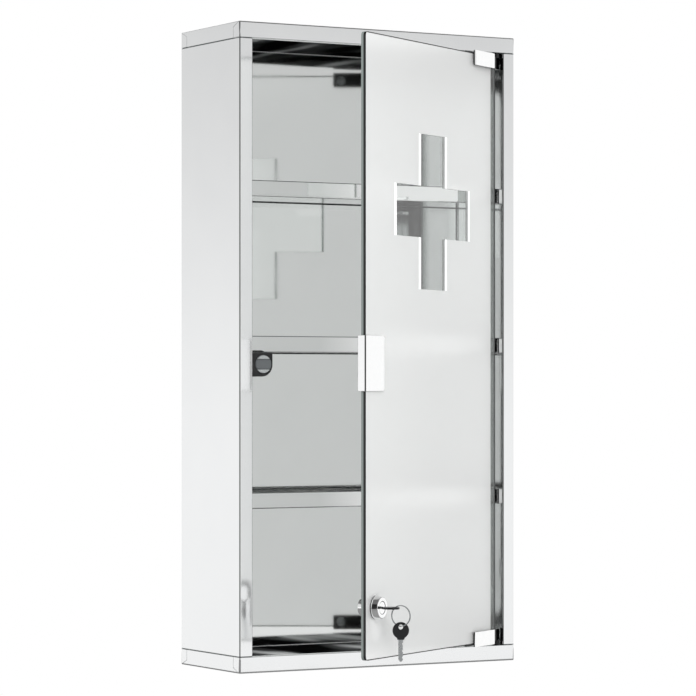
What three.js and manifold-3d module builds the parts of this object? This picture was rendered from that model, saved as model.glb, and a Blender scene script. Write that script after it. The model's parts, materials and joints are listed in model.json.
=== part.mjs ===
// Wall-hung steel medicine cabinet with a lockable frosted glass door.
// Millimetres, +Z up. The door faces -Y and the wall is the plane Y = 0.
// The origin is the middle of the bottom cap's rear flange, on the wall.
import * as THREE from "three";
import { mergeVertices } from "three/addons/utils/BufferGeometryUtils.js";
import Module from "manifold-3d";

// Casing
const WIDTH = 300;
const DEPTH = 118;
const HEIGHT = 600;
const SHEET = 0.8;
const BEND = 1.6;
const CAP_HEIGHT = 15;
const CAP_LIP = 10;
const CORNER_TAB = 12;
const CORNER_TAB_FALL = 5;
const SEAM_WIDTH = 0.5;
const SEAM_DEPTH = 0.4;
const LATCH_STILE = 14.2;
const HINGE_STILE = 13;
const STILE_LIP = 7;
const REAR_RETURN = 14;
const BACK_RECESS = 9.2;
const BACK_FLANGE = 6;
const INNER_FLANGE = 9;
const STRIP_REACH = 8;
const STRIP_END = 6;
const WALL_HOLE = 7;
const WALL_HOLE_SIDE = 40;
const WALL_HOLE_END = 60;
const FIT_GAP = 0.3;
const RUNNING_GAP = 0.15;
const PAST = 1; // how far a cutter runs past what it cuts

// Shelves, each given by the height of its underside
const LOWER_SHELF = 150;
const MIDDLE_SHELF = 296;
const UPPER_SHELF = 441;
const SHELF_LIP = 15;
const SHELF_FRONT = 27;
const SHELF_REAR_GAP = 0.9;

// Door, drawn shut and then turned open about its pivot
const DOOR_OPEN = 31.2;
const PIVOT_IN = 17.5;
const PIVOT_DEPTH = 5.5;
const GLASS = 5;
const GLASS_FREE_GAP = 1.8; // glass to stile, shut
const GLASS_END_GAP = 4.5; // glass to cap
const GLASS_CORNER = 4;
const GLASS_FROM_PIVOT = 6.5;
const ETCH = 0.2;
const CLEAR_EDGE = 10;
const CROSS = 143;
const CROSS_BAR = 47.5;
const CROSS_HEIGHT = 424.8;

// Hinges
const HINGE_LENGTH = 40.5;
const HINGE_HEIGHT = 14;
const HINGE_FROM_PIVOT = 14.5;
const HINGE_PLATE = 2.1;
const HINGE_ABOVE_GLASS = 2.5;
const HINGE_CORNER = 0.8;
const HINGE_CHAMFER = 1.4; // along the plate's free end
const GASKET = 0.8;
const GASKET_INSET = 1.5;
const KNUCKLE = 3.3;
const KNUCKLE_DROP = 3;
const NECK = 1.5;
const PIN = 4;
const PIN_IN_BUSH = 4.5;
const BUSH = 6;
const BUSH_COLLAR = 7;
const BUSH_RISE = 6;
const HINGE_SCREW = 4;
const HINGE_SCREW_HEAD = 9;
const HINGE_SCREW_HEAD_HEIGHT = 2.2;
const HINGE_SCREW_END = 8;
const HINGE_SCREW_REACH = 1.2;
const NOTCH = 6;

// Handle
const HANDLE_WIDTH = 34;
const HANDLE_HEIGHT = 50;
const HANDLE_BELOW_SHELF = 11.4; // handle's middle, level with the catch
const HANDLE_SHEET = 1;
const HANDLE_BEND = 2;
const HANDLE_CORNER = 2.5;
const HANDLE_PAD = 1.8;
const HANDLE_PAD_INSET = 3;

// Magnetic catch
const CATCH_WIDTH = 40;
const CATCH_HEIGHT = 22.6;
const CATCH_DEPTH = 38;
const CATCH_CORNER = 11;
const CATCH_EDGE = 1;
const MAGNET = 16.6;
const MAGNET_THICKNESS = 3;
const MAGNET_FROM_WALL = 30.8;
const MAGNET_BAND = 9;
const CATCH_SCREW = 3;
const CATCH_SCREW_HEAD = 6;
const CATCH_SCREW_HEAD_HEIGHT = 1.8;
const CATCH_SCREW_LENGTH = 10;
const CATCH_SCREW_SPACING = 18;
const CATCH_SCREW_FROM_LIP = 10;

// Lock
const LOCK_FROM_EDGE = 18;
const LOCK_HEIGHT = 66;
const LOCK_FLANGE = 22.2;
const LOCK_FACE = 19;
const LOCK_RIM = 1.2;
const LOCK_STAND = 6;
const LOCK_BARREL = 16;
const LOCK_NUT = 20;
const LOCK_NUT_THICKNESS = 1.2;
const LOCK_GASKET = 0.5;
const PLUG = 11;
const PLUG_FLAT = 9;
const PLUG_RECESS = 0.3;
const CAM_THICKNESS = 1.5;
const CAM_HUB = 17;
const CAM_LENGTH = 31;
const CAM_NEAR_SIDE = 2.5;
const CAM_FAR_SIDE = 17.5;
const CAM_FAR_SHOULDER = [7, 8]; // corner cut off the tongue's tip, across and up
const CAM_NEAR_SHOULDER = [4, 4.3];
const CAM_CORNER = 1;
const LOCK_CAP = 17;
const LOCK_CAP_THICKNESS = 6;
const LOCK_CAP_WALL = 1;
const LOCK_CAP_CHAMFER = 1.2;
const WAFERS = 4;
const WAFER = 1;
const WAFER_PITCH = 2.8;
const WAFER_FIRST = 4;
const WAFER_WIDTH = 5.4;
const WAFER_LENGTH = 9;

// Keys and ring
const KEY_HEAD = 15;
const KEY_HEAD_THICKNESS = 1.8;
const KEY_NECK = 6;
const KEY_NECK_LENGTH = 0.8;
const KEY_SHOULDER = 0.5; // width of the slope from the round head to its neck
const KEY_HOLE = 4.6;
const KEY_HOLE_FROM_END = 4.4;
const KEY_STAND_OFF = 0.6;
const BLADE_WIDTH = 4.4;
const BLADE_THICKNESS = 0.8;
const BLADE_LENGTH = 19.5;
const BLADE_TANG = 4.5;
const BLADE_POINT = 1.5;
const BIT_DEPTHS = [0.9, 0.54];
const BIT_PITCH = 3;
const BIT_FLOOR = 1;
const BITS = 5;
const KEYWAY_GAP = 0.3;
const RING_RADIUS = 9.2;
const RING_WIRE = 1.1;
const RING_HANG = 45;
const SPARE_KEY_TURN = -48;
const SPARE_KEY_DROP = 0.7;

// Facets on round pieces
const ROUND = 32;
const FINE_ROUND = 16;
const FILLET = 2;
const RING_FACETS = 8;

const wasm = await Module();
wasm.setup();

// Closed geometry to a solid that can be joined and cut, and back again.
function solidOf(geometry) {
  const bare = new THREE.BufferGeometry();
  const loose = geometry.index ? geometry.toNonIndexed() : geometry;
  bare.setAttribute("position", loose.getAttribute("position"));
  const merged = mergeVertices(bare, 1e-4);
  return new wasm.Manifold(
    new wasm.Mesh({
      numProp: 3,
      vertProperties: merged.attributes.position.array,
      triVerts: new Uint32Array(merged.index.array),
    }),
  );
}

function geometryOf(solid) {
  const mesh = solid.getMesh();
  const geometry = new THREE.BufferGeometry();
  geometry.setAttribute("position", new THREE.BufferAttribute(mesh.vertProperties, 3));
  geometry.setIndex(new THREE.BufferAttribute(mesh.triVerts, 1));
  const flat = geometry.toNonIndexed();
  flat.computeVertexNormals();
  return flat;
}

function join(...pieces) {
  return geometryOf(pieces.map(solidOf).reduce((sum, piece) => sum.add(piece)));
}

function cut(body, ...tools) {
  return geometryOf(tools.map(solidOf).reduce((left, tool) => left.subtract(tool), solidOf(body)));
}

function common(a, b) {
  return geometryOf(solidOf(a).intersect(solidOf(b)));
}

// A closed outline through corners [x, y, radius], with round corners where a radius is given.
function outline(corners) {
  const shape = new THREE.Shape();
  corners.forEach(([x, y, radius], i) => {
    const corner = new THREE.Vector2(x, y);
    const toward = (j) => {
      const [px, py] = corners[(j + corners.length) % corners.length];
      return new THREE.Vector2(px, py).sub(corner).normalize();
    };
    const back = toward(i - 1);
    const ahead = toward(i + 1);
    if (!radius) {
      i ? shape.lineTo(x, y) : shape.moveTo(x, y);
      return;
    }
    const half = Math.acos(THREE.MathUtils.clamp(back.dot(ahead), -1, 1)) / 2;
    const start = corner.clone().addScaledVector(back, radius / Math.tan(half));
    const end = corner.clone().addScaledVector(ahead, radius / Math.tan(half));
    const middle = back.clone().add(ahead).normalize();
    const centre = corner.clone().addScaledVector(middle, radius / Math.sin(half));
    i ? shape.lineTo(start.x, start.y) : shape.moveTo(start.x, start.y);
    const from = start.clone().sub(centre).angle();
    const to = end.clone().sub(centre).angle();
    shape.absarc(centre.x, centre.y, radius, from, to, back.cross(ahead) > 0);
  });
  shape.closePath();
  return shape;
}

function rectangle(x0, x1, y0, y1, radius = 0) {
  return outline([
    [x0, y0, radius],
    [x1, y0, radius],
    [x1, y1, radius],
    [x0, y1, radius],
  ]);
}

// Section of a sheet folded at right angles along a path that always turns right.
// The path is the sheet's outer face, and the sheet lies on its right.
function folded(path, thickness, bend) {
  const shifted = (offset) =>
    path.map(([x, y], i) => {
      const point = new THREE.Vector2(x, y);
      const runs = [i - 1, i].filter((j) => j >= 0 && j < path.length - 1);
      runs.forEach((j) => {
        const [[x0, y0], [x1, y1]] = [path[j], path[j + 1]];
        const along = new THREE.Vector2(x1 - x0, y1 - y0).normalize();
        point.add(new THREE.Vector2(along.y, -along.x).multiplyScalar(offset));
      });
      return [point.x, point.y, runs.length === 2 ? bend - offset : 0];
    });
  return outline([...shifted(0), ...shifted(thickness).reverse()]);
}

function extrude(shape, depth, segments = FILLET) {
  return new THREE.ExtrudeGeometry(shape, { depth, bevelEnabled: false, curveSegments: segments });
}

// Plan outline (x, y) raised from z0 to z1.
function raised(shape, z0, z1, segments) {
  return extrude(shape, z1 - z0, segments).translate(0, 0, z0);
}

// Front outline (x, z) carried from y0 to y1.
function deep(shape, y0, y1, segments) {
  return extrude(shape, y1 - y0, segments)
    .rotateX(Math.PI / 2)
    .translate(0, y1, 0);
}

// Side outline (y, z) carried from x0 to x1.
function across(shape, x0, x1, segments) {
  return extrude(shape, x1 - x0, segments)
    .rotateX(Math.PI / 2)
    .rotateZ(Math.PI / 2)
    .translate(x0, 0, 0);
}

function box(x0, x1, y0, y1, z0, z1) {
  const block = new THREE.BoxGeometry(x1 - x0, y1 - y0, z1 - z0);
  return block.translate((x0 + x1) / 2, (y0 + y1) / 2, (z0 + z1) / 2);
}

// Round bar along Z or along Y.
function post(diameter, x, y, z0, z1, facets = FINE_ROUND) {
  return new THREE.CylinderGeometry(diameter / 2, diameter / 2, z1 - z0, facets)
    .rotateX(Math.PI / 2)
    .translate(x, y, (z0 + z1) / 2);
}

function rod(diameter, x, z, y0, y1, facets = FINE_ROUND) {
  const bar = new THREE.CylinderGeometry(diameter / 2, diameter / 2, y1 - y0, facets);
  return bar.translate(x, (y0 + y1) / 2, z);
}

// Turned piece from a closed profile of [radius, y], about the Y axis.
function turned(profile, facets = ROUND) {
  const points = [...profile, profile[0]].map(([radius, y]) => new THREE.Vector2(radius, y));
  return new THREE.LatheGeometry(points, facets);
}

const FINISH = {
  steel: { color: 0xd9dcdd, roughness: 0.32, metalness: 0.9 },
  innerSteel: { color: 0xb9c1bf, roughness: 0.12, metalness: 1 },
  darkSteel: { color: 0x4a4d4e, roughness: 0.12, metalness: 1 },
  chrome: { color: 0xe8eaea, roughness: 0.08, metalness: 1 },
  zinc: { color: 0xb8bcbd, roughness: 0.35, metalness: 1 },
  glass: { color: 0xdfe8e4, roughness: 0.4, metalness: 0, transparent: true, opacity: 0.6 },
  blackPlastic: { color: 0x141516, roughness: 0.4, metalness: 0 },
  rubber: { color: 0x1b1c1d, roughness: 0.8, metalness: 0 },
  magnet: { color: 0x55585a, roughness: 0.5, metalness: 0.3 },
  brass: { color: 0xc9a657, roughness: 0.35, metalness: 1 },
};

function add(group, name, finish, geometry) {
  const mesh = new THREE.Mesh(geometry, new THREE.MeshStandardMaterial(FINISH[finish]));
  mesh.name = name;
  group.add(mesh);
  return mesh;
}

const cabinet = new THREE.Group();
const casing = new THREE.Group();
casing.position.set(-WIDTH / 2, -DEPTH, -CAP_HEIGHT / 2);
cabinet.add(casing);

// Turns a piece of the casing upside down, for the matching piece at the other end.
function flipped(geometry) {
  return geometryOf(solidOf(geometry).mirror([0, 0, 1])).translate(0, 0, HEIGHT);
}

// Puts a piece of the left side on the right.
function swapped(geometry) {
  return geometryOf(solidOf(geometry).mirror([1, 0, 0])).translate(WIDTH, 0, 0);
}

const capEdge = HEIGHT - CAP_HEIGHT;
const sideTop = capEdge - FIT_GAP;
const stripIn = SHEET + FIT_GAP;
const innerSide = stripIn + SHEET;
const backFront = DEPTH - BACK_RECESS - SHEET;
const pivotX = WIDTH - PIVOT_IN;

// Side panels: stile with its lip, side and rear return, folded from one sheet.
function sidePanel(stile) {
  const path = [
    [stile, STILE_LIP],
    [stile, 0],
    [0, 0],
    [0, DEPTH],
    [REAR_RETURN, DEPTH],
    [REAR_RETURN, DEPTH - BACK_RECESS + FIT_GAP],
  ];
  return raised(folded(path, SHEET, BEND), HEIGHT - sideTop, sideTop);
}

// Caps: folded pans whose front and rear flanges wrap the corners in mitred tabs.
// A strip inside each end reaches past the cap's edge and holds the side panel.
function cap() {
  const foldedOver = (size) =>
    outline([
      [0, capEdge, 0],
      [size, capEdge, 0],
      [size, HEIGHT, BEND],
      [0, HEIGHT, BEND],
    ]);
  const flanges = common(
    deep(foldedOver(WIDTH), -PAST, DEPTH + PAST),
    across(foldedOver(DEPTH), -PAST, WIDTH + PAST),
  );
  const shell = cut(
    common(raised(rectangle(0, WIDTH, 0, DEPTH, BEND), capEdge - PAST, HEIGHT + PAST), flanges),
    raised(
      rectangle(SHEET, WIDTH - SHEET, SHEET, DEPTH - SHEET, BEND - SHEET),
      capEdge - PAST,
      HEIGHT - SHEET,
    ),
  );
  const lipStart = LATCH_STILE + FIT_GAP;
  const lipEnd = WIDTH - HINGE_STILE - FIT_GAP;
  const strip = box(
    stripIn,
    innerSide,
    CAP_LIP + STRIP_END,
    backFront - STRIP_END,
    capEdge - STRIP_REACH,
    HEIGHT - SHEET / 2,
  );
  const lip = cut(
    box(lipStart, lipEnd, SHEET / 2, CAP_LIP, capEdge, capEdge + SHEET),
    post(BUSH + 2 * FIT_GAP, pivotX, PIVOT_DEPTH, capEdge - PAST, capEdge + SHEET + PAST),
  );
  const mitre = Math.atan2(CORNER_TAB_FALL, CORNER_TAB);
  const mitreLength = Math.hypot(CORNER_TAB, CORNER_TAB_FALL);
  const seams = [];
  for (const side of [0, WIDTH]) {
    for (const [end, inward] of [[0, 1], [DEPTH, -1]]) {
      const tabEnd = end + inward * CORNER_TAB;
      const foot = box(
        side - SEAM_DEPTH,
        side + SEAM_DEPTH,
        tabEnd - SEAM_WIDTH / 2,
        tabEnd + SEAM_WIDTH / 2,
        capEdge - PAST,
        HEIGHT - CORNER_TAB_FALL,
      );
      const slope = box(
        side - SEAM_DEPTH,
        side + SEAM_DEPTH,
        -mitreLength / 2,
        mitreLength / 2,
        -SEAM_WIDTH / 2,
        SEAM_WIDTH / 2,
      )
        .rotateX(-inward * mitre)
        .translate(0, end + (inward * CORNER_TAB) / 2, HEIGHT - CORNER_TAB_FALL / 2);
      seams.push(foot, slope);
    }
  }
  return cut(join(shell, lip, strip, swapped(strip)), ...seams);
}

// Sheet behind each cap, with flanges turned away from the room inside.
function innerPanel() {
  const x0 = innerSide + FIT_GAP;
  const path = [
    [x0, capEdge + INNER_FLANGE],
    [x0, capEdge],
    [WIDTH - x0, capEdge],
    [WIDTH - x0, capEdge + INNER_FLANGE],
  ].reverse();
  return deep(folded(path, SHEET, BEND), CAP_LIP + FIT_GAP, backFront - FIT_GAP);
}

function backPanel() {
  const x0 = SHEET + FIT_GAP;
  const end = CAP_HEIGHT + FIT_GAP;
  const path = [
    [WIDTH - x0, backFront + BACK_FLANGE],
    [WIDTH - x0, backFront],
    [x0, backFront],
    [x0, backFront + BACK_FLANGE],
  ];
  const holes = [];
  for (const x of [WALL_HOLE_SIDE, WIDTH - WALL_HOLE_SIDE]) {
    for (const z of [WALL_HOLE_END, HEIGHT - WALL_HOLE_END]) {
      holes.push(rod(WALL_HOLE, x, z, backFront - PAST, backFront + SHEET + PAST));
    }
  }
  return cut(raised(folded(path, SHEET, BEND), end, HEIGHT - end), ...holes);
}

// Shelf trays with an upstand on all four sides.
const shelfBack = backFront - SHELF_REAR_GAP;
const shelfSide = SHEET + FIT_GAP;

function shelf(underside) {
  const profile = (inset, rim) =>
    outline([
      [shelfBack - inset, rim, 0],
      [shelfBack - inset, underside + inset, BEND - inset],
      [SHELF_FRONT + inset, underside + inset, BEND - inset],
      [SHELF_FRONT + inset, rim, 0],
    ]);
  const top = underside + SHELF_LIP;
  return cut(
    across(profile(0, top), shelfSide, WIDTH - shelfSide),
    across(profile(SHEET, top + PAST), shelfSide + SHEET, WIDTH - shelfSide - SHEET),
  );
}

add(casing, "left_side_panel", "steel", sidePanel(LATCH_STILE));
add(casing, "right_side_panel", "steel", swapped(sidePanel(HINGE_STILE)));
add(casing, "back_panel", "innerSteel", backPanel());
add(casing, "top_cap", "steel", cap());
add(casing, "bottom_cap", "steel", flipped(cap()));
add(casing, "ceiling_panel", "darkSteel", innerPanel());
add(casing, "floor_panel", "darkSteel", flipped(innerPanel()));
add(casing, "lower_shelf", "innerSteel", shelf(LOWER_SHELF));
add(casing, "upper_shelf", "innerSteel", shelf(UPPER_SHELF));

// Magnetic catch under the middle shelf, with its face just behind the shut door's handle.
const handleFront = -GLASS / 2 - FIT_GAP - HANDLE_SHEET;
const padFront = GLASS / 2 + FIT_GAP;
const padBack = padFront + HANDLE_PAD;
const handleBack = padBack + FIT_GAP + HANDLE_SHEET;
const catchFace = PIVOT_DEPTH + handleBack + FIT_GAP;
const catchTop = MIDDLE_SHELF - FIT_GAP;
const catchSide = SHEET + FIT_GAP;
const magnetX = SHEET + MAGNET_FROM_WALL;
const magnetZ = MIDDLE_SHELF - HANDLE_BELOW_SHELF;
const catchScrewY = SHELF_FRONT + CATCH_SCREW_FROM_LIP;
const catchMiddle = catchSide + CATCH_WIDTH / 2;
const catchScrewX = [
  catchMiddle - CATCH_SCREW_SPACING / 2,
  catchMiddle + CATCH_SCREW_SPACING / 2,
];

function catchHousing() {
  const front = outline([
    [catchSide, catchTop, 0],
    [catchSide, catchTop - CATCH_HEIGHT, CATCH_EDGE],
    [catchSide + CATCH_WIDTH, catchTop - CATCH_HEIGHT, CATCH_CORNER],
    [catchSide + CATCH_WIDTH, catchTop, 0],
  ]);
  const pocket = rod(
    MAGNET + 2 * FIT_GAP,
    magnetX,
    magnetZ,
    catchFace - PAST,
    catchFace + MAGNET_THICKNESS + FIT_GAP,
    ROUND,
  );
  const pilotFoot = catchTop - CATCH_SCREW_LENGTH - FIT_GAP;
  const pilots = catchScrewX.map((x) =>
    post(CATCH_SCREW + 2 * RUNNING_GAP, x, catchScrewY, pilotFoot, catchTop + PAST),
  );
  return cut(deep(front, catchFace, catchFace + CATCH_DEPTH, FILLET * 2), pocket, ...pilots);
}

// The disc is a magnet band between two steel poles.
function catchDisc(low, high) {
  const disc = rod(MAGNET, magnetX, magnetZ, catchFace, catchFace + MAGNET_THICKNESS, ROUND);
  const band = box(
    magnetX - MAGNET,
    magnetX + MAGNET,
    catchFace - PAST,
    catchFace + MAGNET_THICKNESS + PAST,
    magnetZ + low,
    magnetZ + high,
  );
  return common(disc, band);
}

function catchScrew(x) {
  const seat = MIDDLE_SHELF + SHEET + FIT_GAP;
  return join(
    post(CATCH_SCREW_HEAD, x, catchScrewY, seat, seat + CATCH_SCREW_HEAD_HEIGHT),
    post(CATCH_SCREW, x, catchScrewY, catchTop - CATCH_SCREW_LENGTH, seat + CATCH_SCREW_HEAD_HEIGHT / 2),
  );
}

const shelfHoles = catchScrewX.map((x) =>
  post(CATCH_SCREW + 2 * FIT_GAP, x, catchScrewY, MIDDLE_SHELF - PAST, MIDDLE_SHELF + SHEET + PAST),
);
add(casing, "middle_shelf", "innerSteel", cut(shelf(MIDDLE_SHELF), ...shelfHoles));
add(casing, "catch_housing", "blackPlastic", catchHousing());
add(casing, "catch_magnet", "magnet", catchDisc(-MAGNET_BAND / 2, MAGNET_BAND / 2));
add(casing, "upper_catch_pole", "steel", catchDisc(MAGNET_BAND / 2 + FIT_GAP, MAGNET));
add(casing, "lower_catch_pole", "steel", catchDisc(-MAGNET, -MAGNET_BAND / 2 - FIT_GAP));
catchScrewX.forEach((x, i) => add(casing, `catch_screw_${i + 1}`, "zinc", catchScrew(x)));

// Door: shut, it lies in the opening with its pivot at the group's origin.
const door = new THREE.Group();
door.position.set(pivotX, PIVOT_DEPTH, 0);
door.rotation.z = THREE.MathUtils.degToRad(DOOR_OPEN);
casing.add(door);

const freeEdge = LATCH_STILE + GLASS_FREE_GAP - pivotX;
const hingeEdge = -GLASS_FROM_PIVOT;
const glassTop = capEdge - GLASS_END_GAP;
const glassBottom = HEIGHT - glassTop;
const hingeX0 = -(HINGE_FROM_PIVOT + HINGE_LENGTH);
const hingeX1 = -HINGE_FROM_PIVOT;
const hingeTop = glassTop + HINGE_ABOVE_GLASS;
const hingeFoot = hingeTop - HINGE_HEIGHT;
const knuckleTop = hingeTop - KNUCKLE_DROP;
const gasketIn = GLASS / 2 + FIT_GAP;
const plateIn = gasketIn + GASKET + FIT_GAP;
const plateOut = plateIn + HINGE_PLATE;
const hingeScrewX = [hingeX0 + HINGE_SCREW_END, hingeX1 - HINGE_SCREW_END];
const hingeScrewZ = (hingeFoot + glassTop + FIT_GAP) / 2;
const screwHole = HINGE_SCREW + 2 * FIT_GAP;
const lockX = freeEdge + LOCK_FROM_EDGE;

function doorGlass() {
  const crossX = (freeEdge + hingeEdge) / 2;
  const face = rectangle(freeEdge, hingeEdge, glassBottom, glassTop, GLASS_CORNER);
  const sheet = deep(face, -GLASS / 2, GLASS / 2 - ETCH);
  const clear = [
    [CROSS, CROSS_BAR],
    [CROSS_BAR, CROSS],
  ].map(([wide, tall]) =>
    box(
      crossX - wide / 2,
      crossX + wide / 2,
      0,
      GLASS / 2,
      CROSS_HEIGHT - tall / 2,
      CROSS_HEIGHT + tall / 2,
    ),
  );
  const strip = common(
    deep(face, 0, GLASS / 2),
    box(hingeEdge - CLEAR_EDGE, hingeEdge + PAST, -GLASS, GLASS, 0, HEIGHT),
  );
  const cuts = [rod(LOCK_BARREL + 2 * FIT_GAP, lockX, LOCK_HEIGHT, -GLASS, GLASS, ROUND)];
  for (const x of hingeScrewX) {
    const notch = join(
      rod(NOTCH, x, hingeScrewZ, -GLASS, GLASS),
      box(x - NOTCH / 2, x + NOTCH / 2, -GLASS, GLASS, hingeScrewZ, hingeTop),
    );
    cuts.push(notch, flipped(notch));
  }
  return cut(join(sheet, strip, ...clear), ...cuts);
}

// Hinge plate on the glass face, with a neck round the glass edge to the knuckle on the pivot.
function hingePlate() {
  const face = rectangle(hingeX0, hingeX1, hingeFoot, hingeTop, HINGE_CORNER);
  const plan = outline([
    [hingeX0, -plateIn, 0],
    [hingeX0, HINGE_CHAMFER - plateOut, 0],
    [hingeX0 + HINGE_CHAMFER, -plateOut, 0],
    [hingeX1, -plateOut, 0],
    [hingeX1, -plateIn, 0],
  ]);
  const plate = common(
    deep(face, -plateOut - PAST, -plateIn + PAST),
    raised(plan, hingeFoot - PAST, hingeTop + PAST),
  );
  const webX = hingeEdge + FIT_GAP;
  const neckOut = gasketIn + NECK;
  const neck = raised(
    outline([
      [hingeX1 - HINGE_PLATE, -plateIn, 0],
      [hingeX1 - HINGE_PLATE, -neckOut, 0],
      [(hingeX1 + webX) / 2, -neckOut, 0],
      [0, -KNUCKLE, 0],
      [0, KNUCKLE, 0],
      [webX, KNUCKLE, 0],
      [webX, -gasketIn, 0],
      [hingeX1 + FIT_GAP, -gasketIn, 0],
      [hingeX1 + FIT_GAP, -plateIn, 0],
    ]),
    hingeFoot,
    knuckleTop,
  );
  const knuckle = post(2 * KNUCKLE, 0, 0, hingeFoot, knuckleTop);
  const pinHole = post(PIN + 2 * FIT_GAP, 0, 0, hingeFoot - PAST, knuckleTop + PAST);
  const threadEnd = -plateIn - HINGE_SCREW_REACH - FIT_GAP;
  const threads = hingeScrewX.map((x) =>
    rod(screwHole, x, hingeScrewZ, threadEnd, -plateIn + PAST),
  );
  return cut(join(plate, neck, knuckle), pinHole, ...threads);
}

// Flat piece of the hinge's outline, less an inset, with both screw holes.
function hingeSheet(y0, y1, inset) {
  const sheet = deep(
    rectangle(hingeX0 + inset, hingeX1 - inset, hingeFoot + inset, hingeTop - inset, HINGE_CORNER),
    y0,
    y1,
  );
  return cut(sheet, ...hingeScrewX.map((x) => rod(screwHole, x, hingeScrewZ, y0 - PAST, y1 + PAST)));
}

function hingeScrew(x) {
  const seat = plateOut + FIT_GAP;
  return join(
    rod(HINGE_SCREW_HEAD, x, hingeScrewZ, seat, seat + HINGE_SCREW_HEAD_HEIGHT),
    rod(HINGE_SCREW, x, hingeScrewZ, -plateIn - HINGE_SCREW_REACH, seat + HINGE_SCREW_HEAD_HEIGHT / 2),
  );
}

function hingePin() {
  return post(PIN, 0, 0, hingeFoot + FIT_GAP, capEdge + SHEET + PIN_IN_BUSH);
}

// Bush in the cap's lip, with a collar down to the knuckle. It stays with the casing.
function hingeBush() {
  const top = capEdge + SHEET + BUSH_RISE;
  const body = join(
    post(BUSH, pivotX, PIVOT_DEPTH, capEdge - PAST, top),
    post(BUSH_COLLAR, pivotX, PIVOT_DEPTH, knuckleTop + FIT_GAP, capEdge - FIT_GAP),
  );
  return cut(body, post(PIN + 2 * RUNNING_GAP, pivotX, PIVOT_DEPTH, knuckleTop, top + PAST));
}

add(door, "door_glass", "glass", doorGlass());
for (const [end, place] of [
  ["upper", (geometry) => geometry],
  ["lower", flipped],
]) {
  add(casing, `${end}_hinge_bush`, "blackPlastic", place(hingeBush()));
  add(door, `${end}_hinge_plate`, "chrome", place(hingePlate()));
  const frontGasket = hingeSheet(-gasketIn - GASKET, -gasketIn, GASKET_INSET);
  const rearGasket = hingeSheet(gasketIn, gasketIn + GASKET, GASKET_INSET);
  add(door, `${end}_hinge_front_gasket`, "rubber", place(frontGasket));
  add(door, `${end}_hinge_rear_gasket`, "rubber", place(rearGasket));
  add(door, `${end}_hinge_rear_plate`, "blackPlastic", place(hingeSheet(plateIn, plateOut, 0)));
  add(door, `${end}_hinge_pin`, "zinc", place(hingePin()));
  hingeScrewX.forEach((x, i) => {
    add(door, `${end}_hinge_screw_${i + 1}`, "zinc", place(hingeScrew(x)));
  });
}

// Handle: a clip folded over the free edge, level with the catch's magnet.
const handleEnd = freeEdge - FIT_GAP - HANDLE_SHEET + HANDLE_WIDTH;
const handleFoot = magnetZ - HANDLE_HEIGHT / 2;
const handleTop = magnetZ + HANDLE_HEIGHT / 2;

function doorHandle() {
  const outerX = handleEnd - HANDLE_WIDTH;
  const path = [
    [handleEnd, handleFront],
    [outerX, handleFront],
    [outerX, handleBack],
    [handleEnd, handleBack],
  ];
  const clip = raised(folded(path, HANDLE_SHEET, HANDLE_BEND), handleFoot, handleTop);
  const face = outline([
    [outerX - PAST, handleFoot, 0],
    [handleEnd, handleFoot, HANDLE_CORNER],
    [handleEnd, handleTop, HANDLE_CORNER],
    [outerX - PAST, handleTop, 0],
  ]);
  return common(clip, deep(face, handleFront - PAST, handleBack + PAST));
}

// Rubber pad that wedges the handle's rear leg on the glass.
function handlePad() {
  const pad = rectangle(
    freeEdge + HANDLE_PAD_INSET,
    handleEnd - HANDLE_PAD_INSET,
    handleFoot + HANDLE_PAD_INSET,
    handleTop - HANDLE_PAD_INSET,
  );
  return deep(pad, padFront, padBack);
}

add(door, "door_handle", "chrome", doorHandle());
add(door, "handle_pad", "rubber", handlePad());

// Lock: turned pieces on an axis along Y through the glass, front at -Y.
const lock = new THREE.Group();
lock.position.set(lockX, 0, LOCK_HEIGHT);
door.add(lock);

const gasketBack = -GLASS / 2 - FIT_GAP;
const gasketFront = gasketBack - LOCK_GASKET;
const lockSeat = gasketFront - FIT_GAP;
const lockFace = lockSeat - LOCK_STAND;
const nutFront = GLASS / 2 + FIT_GAP;
const nutBack = nutFront + LOCK_NUT_THICKNESS;
const camFront = nutBack + FIT_GAP;
const camBack = camFront + CAM_THICKNESS;
const capFront = camBack + FIT_GAP;
const capBack = capFront + LOCK_CAP_THICKNESS;
const plugBack = capBack - LOCK_CAP_WALL - FIT_GAP;
const plugFace = lockFace + PLUG_RECESS;
const plugBore = PLUG / 2 + FIT_GAP;

function ringOf(inner, outer, y0, y1) {
  return turned([
    [inner, y0],
    [outer, y0],
    [outer, y1],
    [inner, y1],
  ]);
}

function lockBody() {
  return turned([
    [plugBore, lockFace],
    [LOCK_FACE / 2, lockFace],
    [LOCK_FLANGE / 2, lockSeat - LOCK_RIM],
    [LOCK_FLANGE / 2, lockSeat],
    [LOCK_BARREL / 2, lockSeat],
    [LOCK_BARREL / 2, nutBack],
    [plugBore, nutBack],
  ]);
}

const barrelClear = LOCK_BARREL / 2 + FIT_GAP;
add(lock, "lock_body", "chrome", lockBody());
const lockGasket = ringOf(barrelClear, LOCK_FLANGE / 2 - FIT_GAP, gasketFront, gasketBack);
add(lock, "lock_gasket", "rubber", lockGasket);
add(lock, "lock_nut", "zinc", ringOf(barrelClear, LOCK_NUT / 2, nutFront, nutBack));

// Plug: turns in the body, with a flat keyway, wafer slots and flats that drive the cam.
const keyTip = lockFace - KEY_STAND_OFF + BLADE_LENGTH;
const waferY = Array.from({ length: WAFERS }, (_, i) => plugFace + WAFER_FIRST + i * WAFER_PITCH);

// Cutters that leave two flats on the plug, above and below its axis.
function flats(width, y0, y1) {
  return [
    box(-PLUG, PLUG, y0, y1, -PLUG, -width / 2),
    box(-PLUG, PLUG, y0, y1, width / 2, PLUG),
  ];
}

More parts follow.
